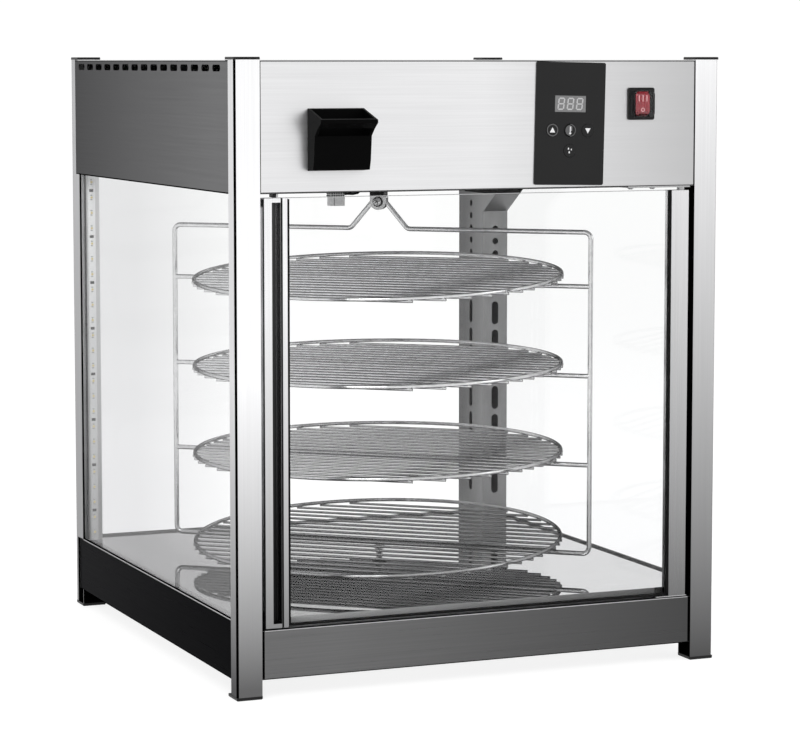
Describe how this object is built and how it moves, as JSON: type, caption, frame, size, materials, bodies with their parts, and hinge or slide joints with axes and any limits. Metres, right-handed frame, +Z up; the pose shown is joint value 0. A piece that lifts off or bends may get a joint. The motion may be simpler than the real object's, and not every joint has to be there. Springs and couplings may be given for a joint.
{
  "type": "pizza display case",
  "caption": "Heated countertop pizza display case with glass sides, a hinged glass door, a turning wire rack and a control header.",
  "frame": {"origin": "on the ground, in the middle of the whole outline seen from above", "axes": "+Z up, the door and controls look towards -Y, +X to the right seen from the front"},
  "size_m": [0.5048, 0.5751, 0.6],
  "materials": {
    "post_metal": "satin, brushed along the length",
    "header_steel": "brushed",
    "band_steel": "brushed, dark",
    "inner_steel": "satin",
    "polished_steel": "mirror polished",
    "duct_steel": "satin",
    "wire_chrome": "plated",
    "screw_steel": "satin",
    "motor_metal": "satin",
    "heater_metal": "oxidised",
    "clear_glass": "clear",
    "black_plastic": "satin",
    "hopper_black": "satin",
    "black_rubber": "matt",
    "overlay_black": "fine-grained film",
    "display_grey": "gloss",
    "button_black": "satin",
    "board_green": "lacquered",
    "switch_red": "translucent",
    "boot_clear": "clear",
    "strip_white": "satin",
    "probe_plastic": "satin"
  },
  "bodies": {
    "cabinet": {"post_front_left": "post_metal", "post_front_right": "post_metal", "post_rear_left": "post_metal", "post_rear_right": "post_metal", "post_caps": "black_plastic", "post_feet": "black_plastic", "header_front_panel": "header_steel", "header_left_panel": "header_steel", "header_right_panel": "header_steel", "header_rear_panel": "header_steel", "top_cover": "header_steel", "ceiling_plate": "inner_steel", "base_front_band": "band_steel", "base_left_band": "band_steel", "base_right_band": "band_steel", "base_rear_band": "band_steel", "bottom_plate": "inner_steel", "floor_tray": "polished_steel", "left_glass": "clear_glass", "right_glass": "clear_glass", "rear_glass": "clear_glass", "glass_seals": "black_rubber", "air_duct": "duct_steel", "led_strip": "strip_white", "temperature_probe": "probe_plastic", "control_overlay": "overlay_black", "display_window": "display_grey", "control_board": "board_green", "switch_frame": "black_plastic", "switch_boot": "boot_clear", "water_hopper": "hopper_black", "water_tank": "inner_steel", "gear_motor": "motor_metal", "rack_bushes": "black_plastic", "blower_housing": "duct_steel", "blower_motor": "motor_metal", "air_heater": "heater_metal", "cable_gland": "black_plastic", "panel_screws": "screw_steel", "hinge_brackets": "screw_steel", "door_stop": "black_rubber"},
    "door": {"door_handle": "post_metal", "door_stile": "post_metal", "door_glass": "clear_glass", "door_seals": "black_rubber"},
    "rack": {"rack_frame": "wire_chrome", "shelf_1": "wire_chrome", "shelf_2": "wire_chrome", "shelf_3": "wire_chrome", "shelf_4": "wire_chrome", "hanger_clip": "screw_steel", "hanger_screw": "screw_steel", "hanger_block": "black_plastic", "drive_shaft": "wire_chrome"},
    "blower_rotor": {"blower_wheel": "inner_steel"},
    "rocker": {"switch_rocker": "switch_red"},
    "key_up": {"button_up": "button_black"},
    "key_set": {"button_set": "button_black"},
    "key_down": {"button_down": "button_black"},
    "key_mist": {"button_mist": "button_black"}
  },
  "joints": [
    {"name": "door_hinge", "type": "hinge", "parent": "cabinet", "child": "door", "pos_m": [0.2162, -0.2465, 0.0667], "axis": [0, 0, 1], "range_deg": [0, 100]},
    {"name": "rack_spin", "type": "hinge", "parent": "cabinet", "child": "rack", "pos_m": [0, 0.0105, 0.4], "axis": [0, 0, 1], "continuous": true},
    {"name": "blower_spin", "type": "hinge", "parent": "cabinet", "child": "blower_rotor", "pos_m": [0.13, 0.1755, 0.5], "axis": [0, 0, 1], "continuous": true},
    {"name": "rocker_tilt", "type": "hinge", "parent": "cabinet", "child": "rocker", "pos_m": [0.167, -0.2495, 0.5547], "axis": [1, 0, 0], "range_deg": [-10, 10]},
    {"name": "press_up", "type": "slide", "parent": "cabinet", "child": "key_up", "axis": [0, 1, 0], "range_m": [0, 0.0006], "stiffness_N_per_m": 400, "springref_m": -0.0005},
    {"name": "press_set", "type": "slide", "parent": "cabinet", "child": "key_set", "axis": [0, 1, 0], "range_m": [0, 0.0006], "stiffness_N_per_m": 400, "springref_m": -0.0005},
    {"name": "press_down", "type": "slide", "parent": "cabinet", "child": "key_down", "axis": [0, 1, 0], "range_m": [0, 0.0006], "stiffness_N_per_m": 400, "springref_m": -0.0005},
    {"name": "press_mist", "type": "slide", "parent": "cabinet", "child": "key_mist", "axis": [0, 1, 0], "range_m": [0, 0.0006], "stiffness_N_per_m": 400, "springref_m": -0.0005}
  ]
}
